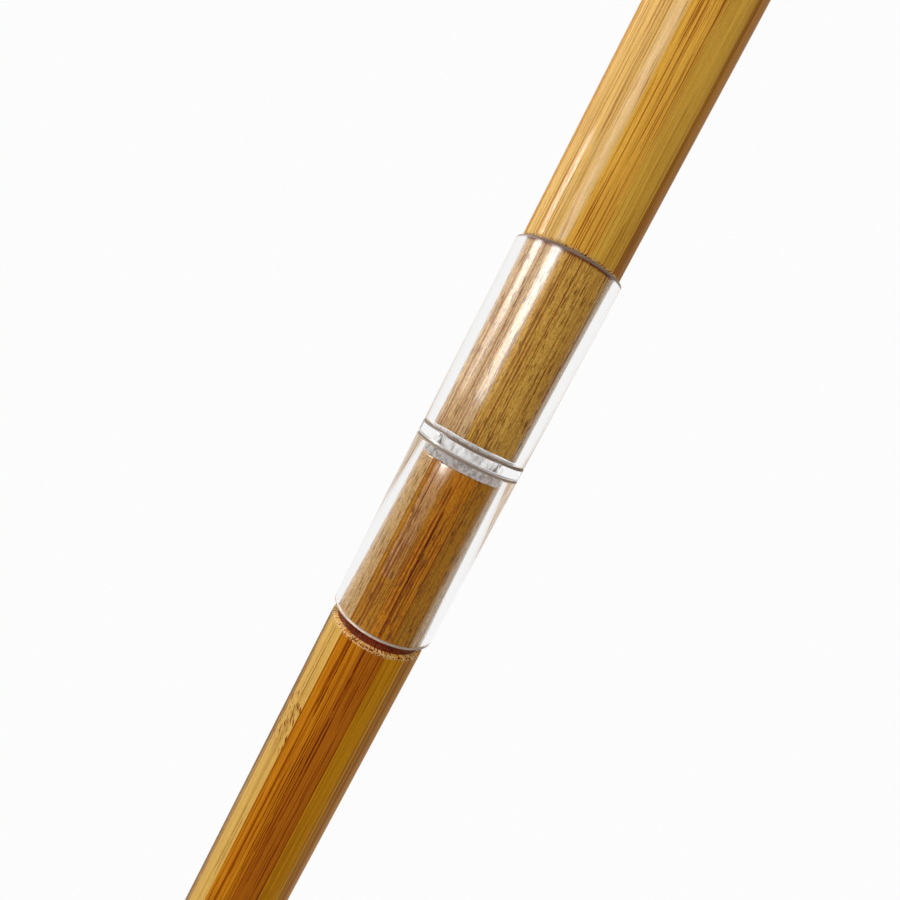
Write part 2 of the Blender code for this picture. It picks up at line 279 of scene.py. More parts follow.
class Nodes:
    """One material's node tree, with short calls that add a node and return its output."""

    def __init__(self, name="", tree=None):
        if tree is None:
            self.material = bpy.data.materials.new(name)
            self.material.use_nodes = True
            tree = self.material.node_tree
            tree.nodes.clear()
        self.tree = tree
        self.position = None

    def node(self, kind, **settings):
        made = self.tree.nodes.new(kind)
        for key, value in settings.items():
            setattr(made, key, value)
        return made

    def plug(self, socket, value):
        if isinstance(value, bpy.types.NodeSocket):
            self.tree.links.new(value, socket)
        elif isinstance(value, (tuple, list)) and len(value) == 3 and socket.type == "RGBA":
            socket.default_value = (*value, 1.0)
        else:
            socket.default_value = value

    def math(self, operation, first, second=0.0, third=0.0, clamp=False):
        made = self.node("ShaderNodeMath", operation=operation, use_clamp=clamp)
        for socket, value in zip(made.inputs, (first, second, third)):
            self.plug(socket, value)
        return made.outputs[0]

    def times(self, first, second, clamp=False):
        return self.math("MULTIPLY", first, second, clamp=clamp)

    def plus(self, first, second):
        return self.math("ADD", first, second)

    def xyz(self):
        """Position at rest, in millimetres, as three outputs."""
        if self.position is None:
            coordinates = self.node("ShaderNodeTexCoord")
            scaled = self.node("ShaderNodeVectorMath", operation="SCALE")
            self.plug(scaled.inputs[0], coordinates.outputs["Object"])
            scaled.inputs["Scale"].default_value = 1 / MM
            split = self.node("ShaderNodeSeparateXYZ")
            self.plug(split.inputs[0], scaled.outputs[0])
            self.position = tuple(split.outputs)
        return self.position

    def vector(self, x, y, z):
        made = self.node("ShaderNodeCombineXYZ")
        for socket, value in zip(made.inputs, (x, y, z)):
            self.plug(socket, value)
        return made.outputs[0]

    def noise(self, vector, scale=1.0, detail=2.0, roughness=0.5, distortion=0.0):
        made = self.node("ShaderNodeTexNoise")
        self.plug(made.inputs["Vector"], vector)
        made.inputs["Scale"].default_value = scale
        made.inputs["Detail"].default_value = detail
        made.inputs["Roughness"].default_value = roughness
        made.inputs["Distortion"].default_value = distortion
        return made.outputs["Fac"]

    def ease(self, value, low, high, to_low=0.0, to_high=1.0):
        """Smooth step of a value from low to high."""
        made = self.node("ShaderNodeMapRange", interpolation_type="SMOOTHSTEP")
        for socket, setting in zip(made.inputs, (value, low, high, to_low, to_high)):
            self.plug(socket, setting)
        return made.outputs[0]

    def between(self, value, low, high, soft):
        """1 where a value lies between low and high, falling off over soft."""
        rising = self.ease(value, low - soft, low + soft)
        falling = self.ease(value, high - soft, high + soft, 1.0, 0.0)
        return self.times(rising, falling)

    def mix(self, share, first, second, blend="MIX"):
        made = self.node("ShaderNodeMix", data_type="RGBA", blend_type=blend)
        self.plug(made.inputs["Factor"], share)
        self.plug(made.inputs["A"], first)
        self.plug(made.inputs["B"], second)
        return made.outputs["Result"]

    def tinted(self, share, tone, tint):
        """A tone that is multiplied by a tint, by as much as the share says."""
        return self.mix(share, tone, self.mix(1.0, tone, tint, "MULTIPLY"))

    def ramp(self, share, stops):
        """A colour ramp over (position, colour) stops."""
        made = self.node("ShaderNodeValToRGB")
        elements = made.color_ramp.elements
        while len(elements) < len(stops):
            elements.new(0.5)
        for element, (place, color) in zip(elements, stops):
            element.position = place
            element.color = (*color, 1.0)
        self.plug(made.inputs[0], share)
        return made.outputs[0]

    def bump(self, height, strength, distance, normal=None):
        made = self.node("ShaderNodeBump")
        self.plug(made.inputs["Height"], height)
        made.inputs["Strength"].default_value = strength
        made.inputs["Distance"].default_value = distance
        if normal is not None:
            self.plug(made.inputs["Normal"], normal)
        return made.outputs[0]

    def principled(self, **inputs):
        made = self.node("ShaderNodeBsdfPrincipled")
        for key, value in inputs.items():
            self.plug(made.inputs[key.replace("_", " ")], value)
        return made.outputs[0]

    def shader(self, kind, color, **inputs):
        """A plain shader of one kind, with its colour and any other inputs."""
        made = self.node(f"ShaderNode{kind}")
        self.plug(made.inputs["Color"], color)
        for key, value in inputs.items():
            self.plug(made.inputs[key], value)
        return made.outputs[0]

    def shader_mix(self, share, first, second):
        made = self.node("ShaderNodeMixShader")
        for socket, value in zip(made.inputs, (share, first, second)):
            self.plug(socket, value)
        return made.outputs[0]

    def output(self, surface):
        made = self.node("ShaderNodeOutputMaterial")
        self.plug(made.inputs["Surface"], surface)
        return self.material


def bounced(n, kind, times=1):
    """1 for a ray that has bounced this often or more in this way before it arrives, else 0."""
    light_path = n.node("ShaderNodeLightPath")
    return n.math("GREATER_THAN", light_path.outputs[kind], times - 0.5)


def choose(n, share, first, second):
    """The first number where a share is 0, the second where it is 1."""
    made = n.node("ShaderNodeMix", data_type="FLOAT")
    n.plug(made.inputs["Factor"], share)
    n.plug(made.inputs["A"], first)
    n.plug(made.inputs["B"], second)
    return made.outputs["Result"]


def dot(n, vector, fixed):
    """The dot product of a vector output and a fixed vector."""
    made = n.node("ShaderNodeVectorMath", operation="DOT_PRODUCT")
    n.plug(made.inputs[0], vector)
    made.inputs[1].default_value = fixed
    return made.outputs["Value"]


# Bamboo -----------------------------------------------------------------------------------------------

STRAW = (0.78, 0.49, 0.15)
HONEY = (0.86, 0.46, 0.065)
TAN = (0.75, 0.42, 0.06)
AMBER = (0.60, 0.30, 0.045)
OLIVE_GOLD = (0.60, 0.26, 0.008)
CHESTNUT = (0.60, 0.215, 0.008)
RUSSET = (0.46, 0.135, 0.007)
DARK_AMBER = (0.47, 0.19, 0.004)
DARK_OLIVE = (0.30, 0.17, 0.035)
PALE_STRAW = (0.70, 0.43, 0.10)
DRY_WOOD = (0.80, 0.54, 0.26)
DRY_TAN = (0.88, 0.50, 0.09)
WET_AMBER = (0.60, 0.26, 0.02)
HAZY_TAN = (0.68, 0.43, 0.17)
WET_RUSSET = (0.72, 0.27, 0.012)
# Unwetted tenon wood, paler still with painted reflection of the air gap.
DRY_PATCH_AND_REFLECTION = (0.66, 0.36, 0.15)
FRESH_CHIP = (0.78, 0.52, 0.22)
PORE = (0.16, 0.05, 0.012)

# What a tone is multiplied by.
LINE_TINT = (0.40, 0.17, 0.08)
DEEP_TINT = (0.34, 0.13, 0.06)
PALE_TINT = (1.12, 1.15, 1.25)
BRIGHT_TINT = (1.15, 1.25, 1.5)
BROAD_TINT = (0.78, 0.66, 0.5)
HAIR_TINT = (0.7, 0.58, 0.45)
GRIT_TINT = (0.7, 0.62, 0.5)
# Painted shade in the open gaps between the coupler and the shoulders.
GAP_SHADE = (0.28, 0.08, 0.05)
# Painted shade inside the bore.
BORE_SHADE = (0.6, 0.5, 0.45)


class Wood:
    """How one stave looks: the tones of its shaft and tenon, and the strength and pitch in mm of its lines.

    A mark is (azimuth in degrees, width in mm, lowest z, highest z, strength). joint is the height of a
    bamboo joint. dry_and_reflection is a patch of the tenon, paler as unwetted wood and by painted reflection
    of
    the air gap: (first azimuth, last azimuth, lowest z, highest z, lowest z of its stripes). Heights are in
    metres.
    """

    def __init__(self, shaft, tenon, lines=0.6, pitch=0.5, marks=(), light_marks=(), joint=None, dry_and_reflection=None):
        self.shaft = shaft
        self.tenon = tenon
        self.lines = lines
        self.pitch = pitch
        self.marks = marks
        self.light_marks = light_marks
        self.joint = joint
        self.dry_and_reflection = dry_and_reflection


HEAD_WOODS = (
    Wood(AMBER, DRY_TAN),
    Wood(STRAW, DRY_WOOD, lines=0.4),
    Wood(AMBER, DRY_TAN),
    Wood(STRAW, DRY_WOOD, lines=0.65, pitch=0.33),
    Wood(STRAW, DRY_WOOD, lines=0.75, pitch=0.33, marks=((150.6, 0.25, 0.419, 0.467, 0.5),)),
    Wood(
        HONEY,
        DRY_TAN,
        lines=0.9,
        pitch=0.27,
        marks=(
            (163.5, 0.3, 0.424, 0.459, 0.7),
            (160.0, 0.25, 0.43, 0.462, 0.5),
            (167.5, 0.25, 0.42, 0.45, 0.4),
        ),
    ),
    Wood(
        TAN,
        DRY_TAN,
        lines=0.35,
        pitch=0.5,
        marks=(
            (196.0, 0.28, 0.4655, 0.477, 0.8),
            (200.5, 0.25, 0.469, 0.476, 0.6),
            (187.0, 0.3, 0.452, 0.465, 0.8),
            (196.5, 0.35, 0.4315, 0.4475, 1.0),
            (190.5, 0.25, 0.436, 0.458, 0.6),
            (213.0, 0.45, 0.431, 0.4445, 1.0),
        ),
    ),
    Wood(DARK_AMBER, DRY_WOOD, lines=0.6, marks=((216.0, 0.35, 0.444, 0.46, 0.8),)),
    Wood(STRAW, DRY_WOOD),
    Wood(HONEY, DRY_TAN),
)
FOOT_WOODS = (
    Wood(AMBER, WET_AMBER),
    Wood(OLIVE_GOLD, WET_AMBER, lines=0.4),
    Wood(DARK_OLIVE, WET_AMBER),
    Wood(
        PALE_STRAW,
        HAZY_TAN,
        lines=0.25,
        pitch=0.8,
        joint=0.334,
        marks=(
            (98.5, 1.3, 0.0, 0.352, 0.5),
            (112.0, 0.3, 0.343, 0.3625, 0.7),
            (117.0, 0.3, 0.341, 0.3625, 0.8),
            (120.0, 0.25, 0.287, 0.307, 0.7),
            (123.5, 0.25, 0.285, 0.304, 0.6),
        ),
    ),
    Wood(
        CHESTNUT,
        WET_AMBER,
        lines=0.8,
        pitch=0.4,
        dry_and_reflection=(135.0, 153.0, 0.3905, 0.4115, 0.381),
        marks=(
            (141.5, 0.3, 0.3425, 0.3635, 1.0),
            (144.5, 0.35, 0.341, 0.3635, 1.0),
            (156.0, 0.35, 0.3, 0.33, 0.8),
            (133.0, 0.3, 0.27, 0.315, 0.6),
            (151.0, 0.25, 0.28, 0.35, 0.5),
        ),
    ),
    Wood(
        RUSSET,
        WET_RUSSET,
        lines=0.9,
        pitch=0.34,
        marks=(
            (161.5, 0.35, 0.325, 0.3635, 0.9),
            (165.0, 0.3, 0.29, 0.355, 0.7),
            (163.0, 0.5, 0.373, 0.408, 0.9),
            (168.5, 0.6, 0.367, 0.402, 0.9),
            (175.0, 0.5, 0.37, 0.4, 0.7),
            (160.0, 0.3, 0.4, 0.4115, 0.7),
        ),
    ),
    Wood(OLIVE_GOLD, WET_AMBER, lines=0.35, pitch=0.6, light_marks=((210.6, 0.35, 0.0, 0.3635, 0.8),)),
    Wood(DARK_AMBER, DRY_WOOD, lines=0.5),
    Wood(STRAW, DRY_WOOD),
    Wood(OLIVE_GOLD, WET_AMBER),
)


class StaveSpace:
    """Places on one stave, as node outputs: arc from its middle and height in mm, and what the surface is."""

    def __init__(self, n, start, end, shaft_radius):
        self.n = n
        self.middle = (start + end) / 2
        self.mm_per_degree = math.radians(shaft_radius / MM)
        turn = math.radians(self.middle)
        x, y, self.z = n.xyz()
        ahead = n.math("SUBTRACT", n.times(x, math.sin(turn)), n.times(y, math.cos(turn)))
        across = n.plus(n.times(x, math.cos(turn)), n.times(y, math.sin(turn)))
        self.arc = n.times(n.math("ARCTAN2", across, ahead), shaft_radius / MM)
        radius = n.math("SQRT", n.plus(n.times(x, x), n.times(y, y)))
        tenon = TENON_RADIUS / MM
        # 1 on the tenon, and inside the bore, where painted shade goes.
        self.tenon = n.ease(radius, tenon + 0.15, tenon + 0.4, 1.0, 0.0)
        self.inside = n.ease(radius, BORE_RADIUS / MM + 0.1, BORE_RADIUS / MM + 0.4, 1.0, 0.0)
        # 1 in the open gaps between the coupler and the shoulders, where the tenon gets painted shade, and on
        # the shoulders' edges.
        under = n.between(self.z, FOOT_SHOULDER / MM - 1, LOWER_TUBE_LOW.z / MM - 0.3, 0.5)
        over = n.between(self.z, UPPER_TUBE_HIGH.z / MM - 0.9, HEAD_SHOULDER / MM + 1, 0.4)
        self.gap = n.math("MAXIMUM", under, over)
        below_shoulder = n.between(self.z, FOOT_SHOULDER / MM - 0.9, FOOT_SHOULDER / MM + 1, 0.25)
        above_shoulder = n.between(self.z, HEAD_SHOULDER / MM - 1, HEAD_SHOULDER / MM + 0.25, 0.15)
        self.edge = n.math("MAXIMUM", below_shoulder, above_shoulder)

    def stretched(self, across, along, seed):
        """A texture vector with so many features per mm round the tube and along it."""
        n = self.n
        return n.vector(n.times(self.arc, across), n.times(self.z, along), seed)

    def arc_of(self, azimuth):
        return (azimuth - self.middle) * self.mm_per_degree

    def stripe(self, azimuth, width, low, high, wander):
        """A lengthwise stripe that wanders a little to each side."""
        n = self.n
        away = n.math("ABSOLUTE", n.plus(n.math("SUBTRACT", self.arc, self.arc_of(azimuth)), wander))
        lengthwise = n.between(self.z, low / MM, high / MM, 1.2)
        return n.times(n.ease(away, 0.25 * width, 0.65 * width, 1.0, 0.0), lengthwise)

    def stripes(self, marks, wander):
        """All the stripes together, and 0 where there are none."""
        total = 0.0
        for azimuth, width, low, high, strength in marks:
            stripe = self.n.times(self.stripe(azimuth, width, low, high, wander), strength)
            total = self.n.math("MAXIMUM", stripe, total)
        return total


def joint_fibres(n, space, height, seed):
    """Where a bamboo joint crosses a stave: short slanting fibres in place of the long straight ones."""
    near = n.between(space.z, height / MM - 8, height / MM + 8, 3)
    lean = n.plus(space.arc, n.times(space.z, 0.35))
    dashes = n.noise(n.vector(n.times(lean, 1.6), n.times(space.z, 0.35), seed), detail=1)
    return n.times(n.ease(dashes, 0.54, 0.64), near)


def dry_patch_and_reflection(n, space, patch):
    """The part of a tenon that the film inside the clear tube hasn't reached, with unwetted stripes below it:
    paler wood under a painted reflection of the air gap.
    """
    start, end, low, high, stripes_low = patch
    edge = n.noise(space.stretched(0.9, 0.25, 2.2), detail=3)
    ragged = n.math("MULTIPLY_ADD", edge, 1.6, -0.8)
    arc = n.plus(space.arc, ragged)
    sideways = n.between(arc, space.arc_of(start), space.arc_of(end), 0.35)
    whole = n.between(n.plus(space.z, n.times(ragged, 0.4)), low / MM, high / MM + 9, 0.3)
    lines = n.ease(n.noise(space.stretched(2.4, 0.05, 8.8), detail=0), 0.47, 0.56)
    striped = n.times(n.between(space.z, stripes_low / MM, low / MM, 0.6), lines)
    return n.times(n.times(sideways, n.math("MAXIMUM", whole, striped)), space.tenon)


class Grain:
    """One stave's textures as node outputs, most of them long drawn out along the fibres."""

    def __init__(self, n, space, wood, seed):
        self.broad = n.noise(space.stretched(0.5, 0.008, seed), detail=3)
        self.threads = n.noise(space.stretched(0.6 / wood.pitch, 0.005, seed + 3.7), detail=3, roughness=0.65)
        self.hairs = n.noise(space.stretched(4.2, 0.02, seed + 9.1), detail=1)
        self.scratches = n.noise(space.stretched(3.1, 0.035, seed + 11.9), detail=2)
        self.crossing = n.noise(space.stretched(1.3, 0.1, seed + 6.4), detail=3)
        self.grit = n.noise(space.stretched(3.6, 1.6, seed + 2.6), detail=1)
        self.chips = n.noise(space.stretched(2.2, 2.2, seed + 3.1), detail=2)
        self.specks = n.noise(space.stretched(2.6, 1.5, seed + 8.3), detail=2, roughness=0.7)
        self.furrows = n.noise(space.stretched(2.2, 0.12, seed + 1.3), detail=3, roughness=0.6)

        sway = n.noise(space.stretched(0.05, 0.08, seed + 7.7), detail=2)
        wander = n.math("MULTIPLY_ADD", sway, 0.5, -0.25)
        broken = n.ease(n.noise(space.stretched(0.6, 0.25, seed + 4.1), detail=2), 0.34, 0.5)
        marks = space.stripes(wood.marks, wander)
        self.marks = n.times(marks, n.math("MULTIPLY_ADD", broken, 0.6, 0.4))

        pores = n.noise(space.stretched(3.0, 0.3, seed + 5.3), detail=1)
        pore_level = n.math("MULTIPLY_ADD", self.crossing, -0.25, 0.735)
        open_pores = n.ease(pores, pore_level, n.plus(pore_level, 0.05))
        self.pores = n.times(open_pores, n.math("MULTIPLY_ADD", space.tenon, 0.75, 0.06))


def fibre_tone(n, space, grain, wood):
    """A stave's tone with its fibres: broad bands, hairs, dark lines and scratches, pale threads and grit."""
    tone = n.mix(space.tenon, wood.shaft, wood.tenon)
    if wood.dry_and_reflection:
        # Unwetted wood on the tenon, paler still with painted reflection of the air gap.
        tone = n.mix(n.times(dry_patch_and_reflection(n, space, wood.dry_and_reflection), 0.75), tone, DRY_PATCH_AND_REFLECTION)
    tone = n.tinted(n.ease(grain.broad, 0.55, 0.3, 0.0, 0.5), tone, PALE_TINT)
    tone = n.tinted(n.ease(grain.broad, 0.5, 0.7, 0.0, 0.5), tone, BROAD_TINT)
    tone = n.tinted(n.ease(grain.hairs, 0.4, 0.65, 0.0, 0.45), tone, HAIR_TINT)
    threshold = n.math("MULTIPLY_ADD", grain.broad, -0.2, 0.665)
    lines = n.times(n.ease(grain.threads, threshold, n.plus(threshold, 0.045)), wood.lines)
    lines = n.times(lines, n.math("MULTIPLY_ADD", space.tenon, 0.15, 1.0), clamp=True)
    lines = n.times(lines, n.ease(grain.crossing, 0.3, 0.4, 0.55, 1.0))
    tone = n.tinted(lines, tone, LINE_TINT)
    tone = n.tinted(n.times(n.ease(grain.scratches, 0.57, 0.63), 0.95 * wood.lines), tone, LINE_TINT)
    tone = n.tinted(n.ease(grain.threads, 0.4, 0.34, 0.0, 0.5), tone, BRIGHT_TINT)
    rough_share = n.math("MULTIPLY_ADD", space.tenon, 0.55, 0.2)
    return n.tinted(n.times(n.ease(grain.grit, 0.45, 0.62), rough_share), tone, GRIT_TINT)


def worn_and_shaded_tone(n, space, grain, tone):
    """The tone with open pores and a chipped shoulder edge, and painted shade between the chips, in the gap
    beside it and inside the bore.
    """
    tone = n.mix(grain.pores, tone, PORE)
    tone = n.mix(n.times(space.edge, n.ease(grain.chips, 0.45, 0.55, 0.0, 0.8)), tone, FRESH_CHIP)
    # Painted shade: dark patches between the pale chips along the shoulder edge.
    tone = n.tinted(n.times(space.edge, n.ease(grain.chips, 0.46, 0.38)), tone, DEEP_TINT)
    # Painted shade on the tenon in the open gaps beside the coupler.
    tone = n.tinted(n.times(space.gap, space.tenon), tone, GAP_SHADE)
    # Painted shade inside the bore.
    return n.tinted(space.inside, tone, BORE_SHADE)


def coat_height(n, space, grain):
    """The height of the coat: dimpled lacquer on the shaft, and a furrowed wet film on the tenon."""
    dimples = n.ease(grain.specks, 0.33, 0.43)
    on_shaft = n.plus(n.times(dimples, 1.1), n.times(grain.threads, 0.5))
    on_shaft = n.plus(on_shaft, grain.grit)
    on_tenon = n.plus(n.times(grain.furrows, 1.3), n.times(dimples, 0.4))
    return choose(n, space.tenon, on_shaft, on_tenon)


def bamboo(name, start, end, shaft_radius, wood, seed):
    """Lacquered bamboo: fibre bundles cut lengthwise, in one stave's tone, and drier wood on its tenon."""
    n = Nodes(name)
    space = StaveSpace(n, start, end, shaft_radius)
    grain = Grain(n, space, wood, seed)
    tone = fibre_tone(n, space, grain, wood)
    tone = n.tinted(grain.marks, tone, DEEP_TINT)
    tone = n.mix(space.stripes(wood.light_marks, 0.0), tone, PALE_STRAW)
    if wood.joint:
        tone = n.tinted(joint_fibres(n, space, wood.joint, seed), tone, DEEP_TINT)
    height = n.math("SUBTRACT", n.times(grain.crossing, 0.6), n.math("MAXIMUM", grain.pores, grain.marks))
    surface = n.principled(
        Base_Color=worn_and_shaded_tone(n, space, grain, tone),
        Roughness=n.math("MULTIPLY_ADD", grain.grit, 0.2, 0.5),
        Specular_IOR_Level=0.0,
        Normal=n.bump(height, 0.5, 0.03 * MM),
        Coat_Weight=n.math("MULTIPLY_ADD", space.tenon, 0.66, 0.19),
        Coat_Roughness=n.math("MULTIPLY_ADD", space.tenon, 0.1, 0.05),
        Coat_Normal=n.bump(coat_height(n, space, grain), 1.0, 0.012 * MM),
    )
    return n.output(surface)


def add_staves(section, first_name, seams, woods, shaft_radius, end, shoulder, tip):
    """One section's staves, each turned between its two seams and given its own wood."""
    up = 1 if tip > end else -1
    fine_span = sorted((shoulder - up * FINE_SPAN, shoulder))
    outline = divided(section_outline(shaft_radius, end, shoulder, tip), fine_span=fine_span)
    gap = math.degrees(SEAM_GAP / shaft_radius) / 2
    for index, wood in enumerate(woods):
        node = first_name if index == 0 else f"{section}_stave_{index + 1}"
        start, stop = seams[index], seams[index + 1]
        mesh = lathe(node, outline, start + gap, stop - gap)
        weather(mesh, shoulder, up)
        if index == 0:
            mesh = with_holes(mesh, node, shaft_radius)
        seed = 13.0 * index + (0 if up > 0 else 7)
        material = bamboo(f"{node}_wood", start, stop, shaft_radius, wood, seed)
        finish_piece(f"{node}_turned", mesh, node, section, material)


# Holes ------------------------------------------------------------------------------------------------

HOLE_STEPS = 72
HOLE_ROUNDING = 0.4 * MM


def holes_in(node, shaft_radius):
    """Centre height, length and width of each hole in a CAD stave, read from its rim on the outer surface."""
    low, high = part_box(node)
    corners = [vertex.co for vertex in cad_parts[node].data.vertices]
    outer = [co for co in corners if math.hypot(co.x, co.y) > shaft_radius - 0.1 * MM]
    rims = []
    for z, x in sorted((co.z, abs(co.x)) for co in outer if low.z + MM < co.z < high.z - MM):
        if not rims or z - rims[-1][-1][0] > 3 * MM:
            rims.append([])
        rims[-1].append((z, x))
    return [
        ((rim[0][0] + rim[-1][0]) / 2, rim[-1][0] - rim[0][0], 2 * max(x for z, x in rim))
        for rim in rims
        if rim[-1][0] - rim[0][0] > MM
    ]


def hole_cutter(build, tube_radius, z, length, width):
    """Adds to a mesh the shape that an oval hole takes out: its flare rounds the rim and follows the tube."""
    arc = [math.radians(14 * step) for step in range(6)]
    flare = [(HOLE_ROUNDING * (math.sin(turn) - 1), HOLE_ROUNDING * (1 - math.cos(turn))) for turn in arc]
    inward = BORE_RADIUS - tube_radius - 1.5 * MM
    rings = [(inward, 0.0), *flare, (0.06 * HOLE_ROUNDING, HOLE_ROUNDING), (1.5 * MM, HOLE_ROUNDING)]
    loops = []
    for rise, grow in rings:
        loop = []
        for step in range(HOLE_STEPS):
            turn = math.tau * step / HOLE_STEPS
            x = (width / 2 + grow) * math.cos(turn)
            out = math.sqrt(tube_radius**2 - x**2) + rise
            loop.append(build.verts.new((x, -out, z + (length / 2 + grow) * math.sin(turn))))
        loops.append(loop)
    for near, far in zip(loops, loops[1:]):
        for index in range(HOLE_STEPS):
            after = (index + 1) % HOLE_STEPS
            build.faces.new((near[index], near[after], far[after], far[index]))
    for loop in (loops[0], loops[-1]):
        x_middle = sum(vertex.co.x for vertex in loop) / HOLE_STEPS
        middle = build.verts.new((x_middle, sum(vertex.co.y for vertex in loop) / HOLE_STEPS, z))
        for index in range(HOLE_STEPS):
            build.faces.new((loop[index], loop[(index + 1) % HOLE_STEPS], middle))


def with_holes(mesh, node, shaft_radius):
    """The stave's mesh with every hole of its CAD node cut through it."""
    build = bmesh.new()
    for z, length, width in holes_in(node, shaft_radius):
        hole_cutter(build, shaft_radius, z, length, width)
    bmesh.ops.recalc_face_normals(build, faces=build.faces)
    cutter_mesh = bpy.data.meshes.new("cutters")
    build.to_mesh(cutter_mesh)
    build.free()
    cutter = bpy.data.objects.new("cutters", cutter_mesh)
    target = bpy.data.objects.new("uncut", mesh)
    bpy.context.scene.collection.objects.link(cutter)
    bpy.context.scene.collection.objects.link(target)
    cut = target.modifiers.new("holes", "BOOLEAN")
    cut.operation = "DIFFERENCE"
    cut.solver = "EXACT"
    cut.object = cutter
    evaluated = target.evaluated_get(bpy.context.evaluated_depsgraph_get())
    result = bpy.data.meshes.new_from_object(evaluated)
    for obj, data in ((target, mesh), (cutter, cutter_mesh)):
        bpy.data.objects.remove(obj)
        bpy.data.meshes.remove(data)
    return result


# Crown ------------------------------------------------------------------------------------------------

CORK_PALE = (0.56, 0.36, 0.19)
CORK_DARK = (0.26, 0.13, 0.06)
CORK_BROWN = (0.42, 0.25, 0.12)
CORK_PIT = (0.10, 0.045, 0.02)
CAP_RED = (0.155, 0.045, 0.022)
CAP_BLACK = (0.035, 0.014, 0.01)
CAP_PORE = (0.01, 0.004, 0.003)


def cork(name):
    """Cork: pale grains with dark walls between them, and a few dark pits."""
    n = Nodes(name)
    x, y, z = n.xyz()
    place = n.vector(x, y, z)
    grains = n.node("ShaderNodeTexVoronoi", feature="DISTANCE_TO_EDGE")
    n.plug(grains.inputs["Vector"], place)
    grains.inputs["Scale"].default_value = 1.6
    walls = n.ease(grains.outputs["Distance"], 0.02, 0.12, 1.0, 0.0)
    mottle = n.noise(place, scale=0.5, detail=3)
    pits = n.ease(n.noise(place, scale=1.1, detail=1), 0.64, 0.7)
    tone = n.mix(n.ease(mottle, 0.35, 0.65), CORK_PALE, CORK_BROWN)
    tone = n.mix(n.times(walls, 0.55), tone, CORK_DARK)
    tone = n.mix(pits, tone, CORK_PIT)
    height = n.math("SUBTRACT", n.times(walls, -0.4), pits)
    surface = n.principled(Base_Color=tone, Roughness=0.85, Normal=n.bump(height, 0.8, 0.12 * MM))
    return n.output(surface)


def dark_wood(name):
    """Polished rosewood, its growth rings cut across by the turned shape."""
    n = Nodes(name)
    x, y, z = n.xyz()
    sway = n.noise(n.vector(x, n.times(y, 0.15), z), scale=0.2, detail=3)
    rings = n.plus(n.times(x, 0.9), n.times(sway, 7))
    bands = n.math("MULTIPLY_ADD", n.math("SINE", n.plus(rings, n.times(z, 0.7))), 0.5, 0.5)
    streaks = n.noise(n.vector(n.times(x, 2.5), n.times(y, 0.2), z), detail=3)
    pores = n.ease(n.noise(n.vector(n.times(x, 5), n.times(y, 0.5), z), detail=1), 0.62, 0.7)
    tone = n.mix(n.times(bands, n.ease(streaks, 0.35, 0.6)), CAP_RED, CAP_BLACK)
    tone = n.mix(n.times(pores, 0.7), tone, CAP_PORE)
    surface = n.principled(
        Base_Color=tone,
        Roughness=n.ease(streaks, 0.3, 0.7, 0.28, 0.4),
        Normal=n.bump(n.times(pores, -1.0), 0.4, 0.04 * MM),
    )
    return n.output(surface)


def solid_outline(profile, longest):
    """A profile from the axis back to the axis, with its long edges cut up."""
    cut_up = [point for point in divided(profile, longest) if point[0] > 0]
    return [(0.0, profile[0][1]), *cut_up, (0.0, profile[-1][1])]


def add_stopper(cork_material):
    """The cork, its sides pitted where bark pores opened."""
    radius = outer_radius("cork_stopper")
    low, high = CORK_LOW.z, CORK_HIGH.z
    profile = [
        (0.0, high),
        *corner_arc(radius, high, 0.7 * MM, 0),
        *corner_arc(radius, low, 0.7 * MM, 1),
        (0.0, low),
    ]
    mesh = lathe("cork_stopper", solid_outline(profile, 0.5 * MM), closed=False)
    for vertex in mesh.vertices:
        pit = max(0.0, noise.noise(vertex.co / (1.6 * MM)) - 0.25)
        inward = Vector((vertex.co.x, vertex.co.y, 0)) * 0.06 * pit
        vertex.co -= inward
    finish_piece("cork_stopper_fine", mesh, "cork_stopper", "stopper", cork_material)


def add_cap():
    """The end cap: a rounded disc over the tube's end and a grooved spigot inside it."""
    disc = outer_radius("end_cap")
    seat = min(z for radius, z in corners_of("end_cap") if radius > BORE_RADIUS + MM)
    spigot = outer_radius("end_cap", high=CAP_LOW.z + MM)
    groove = inner_radius("cap_cork_band") - BAND_CLEARANCE
    profile = [
        (0.0, CAP_HIGH.z),
        *corner_arc(disc, CAP_HIGH.z, 3 * MM, 0, steps=14),
        *corner_arc(disc, seat, 0.3 * MM, 1),
        (spigot, seat),
        (spigot, BAND_HIGH.z + BAND_CLEARANCE),
        (groove, BAND_HIGH.z + BAND_CLEARANCE),
        (groove, BAND_LOW.z - BAND_CLEARANCE),
        (spigot, BAND_LOW.z - BAND_CLEARANCE),
        *corner_arc(spigot, CAP_LOW.z, 0.4 * MM, 1),
        (0.0, CAP_LOW.z),
    ]
    mesh = lathe("end_cap", solid_outline(profile, 1.5 * MM), closed=False)
    finish_piece("end_cap_fine", mesh, "end_cap", "cap", dark_wood("rosewood"), sharp=30)


def add_band(cork_material):
    """The cork band in the spigot's groove, dented where its bark was soft."""
    outer, inner = outer_radius("cap_cork_band"), inner_radius("cap_cork_band")
    outline = divided(tube_outline(outer, inner, BAND_LOW.z, BAND_HIGH.z, 0.12 * MM), 0.5 * MM)
    mesh = lathe("cap_cork_band", outline)
    for vertex in mesh.vertices:
        if math.hypot(vertex.co.x, vertex.co.y) > outer - 0.2 * MM:
            dent = 0.006 * max(0.0, noise.noise(vertex.co / (1.1 * MM)))
            vertex.co.x *= 1 - dent
            vertex.co.y *= 1 - dent
    finish_piece("cap_cork_band_fine", mesh, "cap_cork_band", "cap", cork_material)


def add_crown():
    """What closes the head: the cork inside it, and the cap with its band."""
    cork_material = cork("cork")
    add_stopper(cork_material)
    add_cap()
    add_band(cork_material)


# Clear coupler ----------------------------------------------------------------------------------------

